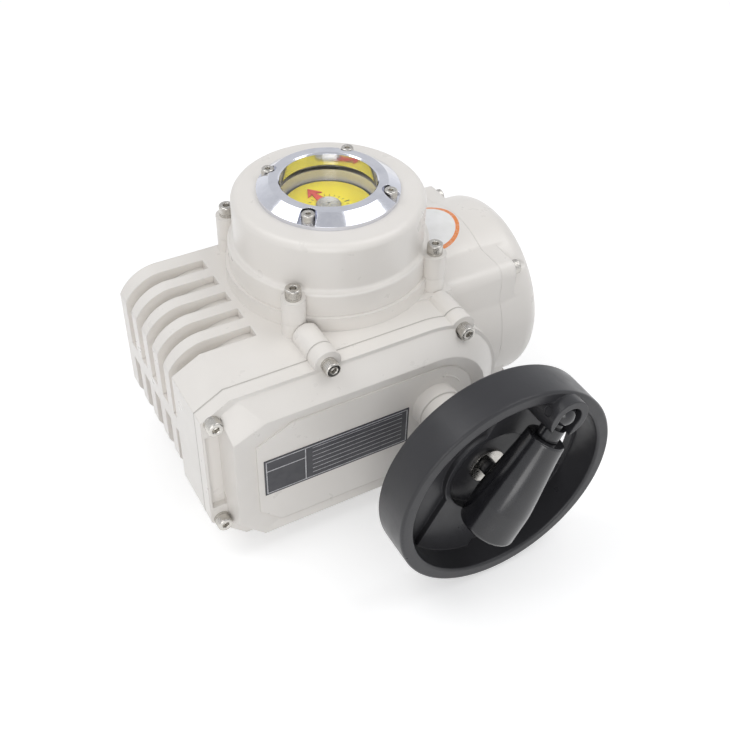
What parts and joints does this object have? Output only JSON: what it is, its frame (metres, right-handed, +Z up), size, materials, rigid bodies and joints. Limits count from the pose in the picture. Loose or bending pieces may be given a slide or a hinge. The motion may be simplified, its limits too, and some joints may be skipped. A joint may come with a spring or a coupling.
{
  "type": "electric quarter-turn valve actuator",
  "caption": "Electric quarter-turn valve actuator with a finned cast housing, round terminal drum, domed sight window and a front handwheel with a fold-away handle.",
  "frame": {"origin": "output axis at the mounting face of the foot", "axes": "+Z up along the output axis, -Y to the front with the gear cover and handwheel, +X to the terminal drum"},
  "size_m": [0.2269, 0.2491, 0.1677],
  "materials": {
    "ivory_paint": "satin",
    "chrome": "polished",
    "stainless_steel": "satin",
    "machined_steel": "machined",
    "bronze": "machined",
    "rubber": "matte",
    "fibre_gasket": "matte",
    "glass": "clear",
    "black_paint": "satin",
    "gloss_black": "gloss",
    "dial_yellow": "satin",
    "pointer_red": "satin",
    "label_dark": "satin",
    "label_white": "satin",
    "nickel_brass": "nickel plated",
    "board_green": "satin",
    "block_grey": "matte",
    "plate_aluminium": "machined"
  },
  "bodies": {
    "housing": {"main_housing": "ivory_paint", "case_gasket": "fibre_gasket", "gear_cover": "ivory_paint", "gear_cover_screws": "stainless_steel", "dome_cover": "ivory_paint", "dome_seal": "rubber", "dome_screws": "stainless_steel", "sight_bezel": "chrome", "sight_glass": "glass", "glass_ring": "rubber", "bezel_screws": "stainless_steel", "bezel_washers": "stainless_steel", "terminal_cover": "ivory_paint", "terminal_seal": "rubber", "terminal_screws": "stainless_steel", "cover_washers": "stainless_steel", "gland_bodies": "nickel_brass", "gland_nuts": "nickel_brass", "earth_screw": "stainless_steel", "label_plate": "label_dark", "rating_disc": "label_white", "motor_can": "black_paint", "motor_screws": "stainless_steel", "motor_cap": "ivory_paint", "base_bush": "bronze", "output_seal": "rubber", "upper_plate": "plate_aluminium", "upper_bush": "bronze", "inner_screws": "stainless_steel", "worm_bearings": "machined_steel", "shaft_bushes": "bronze", "shaft_seal": "rubber", "switch_bracket": "stainless_steel", "limit_switches": "block_grey", "control_board": "board_green", "board_standoffs": "nickel_brass", "terminal_block": "block_grey", "stop_screws": "stainless_steel", "stop_nuts": "stainless_steel", "dial_plate": "dial_yellow", "dial_posts": "stainless_steel"},
    "output": {"drive_sleeve": "machined_steel", "worm_wheel": "bronze", "stop_sector": "machined_steel", "indicator_shaft": "machined_steel", "limit_cams": "block_grey", "pointer": "pointer_red", "pointer_screw": "stainless_steel"},
    "worm": {"worm_shaft": "machined_steel", "worm_gear": "machined_steel"},
    "motor": {"motor_shaft": "machined_steel", "motor_pinion": "machined_steel"},
    "wheel": {"handwheel": "black_paint", "handwheel_shaft": "machined_steel", "handwheel_gear": "machined_steel", "hub_washer": "stainless_steel", "hub_screw": "black_paint", "handle_pin": "black_paint"},
    "handle": {"handle_spindle": "machined_steel"},
    "grip": {"grip": "gloss_black"}
  },
  "joints": [
    {"name": "handwheel_turn", "type": "hinge", "parent": "housing", "child": "wheel", "pos_m": [0.0215, -0.1, 0.0655], "axis": [0, -1, 0], "range_deg": [0, 2160]},
    {"name": "worm_turn", "type": "hinge", "parent": "housing", "child": "worm", "pos_m": [-0.038, 0, 0.0655], "axis": [0, -1, 0], "range_deg": [-2430, 0]},
    {"name": "motor_turn", "type": "hinge", "parent": "housing", "child": "motor", "pos_m": [-0.076, 0, 0.0655], "axis": [0, -1, 0], "range_deg": [0, 6804]},
    {"name": "output_turn", "type": "hinge", "parent": "housing", "child": "output", "pos_m": [0, 0, 0.03], "axis": [0, 0, 1], "range_deg": [0, 90]},
    {"name": "handle_fold", "type": "hinge", "parent": "wheel", "child": "handle", "pos_m": [0.04675, -0.1546, 0.10923], "axis": [-0.866, 0, 0.5], "range_deg": [0, 90]},
    {"name": "grip_spin", "type": "hinge", "parent": "handle", "child": "grip", "pos_m": [0.04675, -0.1546, 0.10923], "axis": [-0.5, 0, -0.866], "continuous": true}
  ],
  "couplings": [
    {"joint": "worm_turn", "follows": "handwheel_turn", "ratio": -1.125},
    {"joint": "motor_turn", "follows": "handwheel_turn", "ratio": 3.15},
    {"joint": "output_turn", "follows": "handwheel_turn", "ratio": 0.041667}
  ]
}
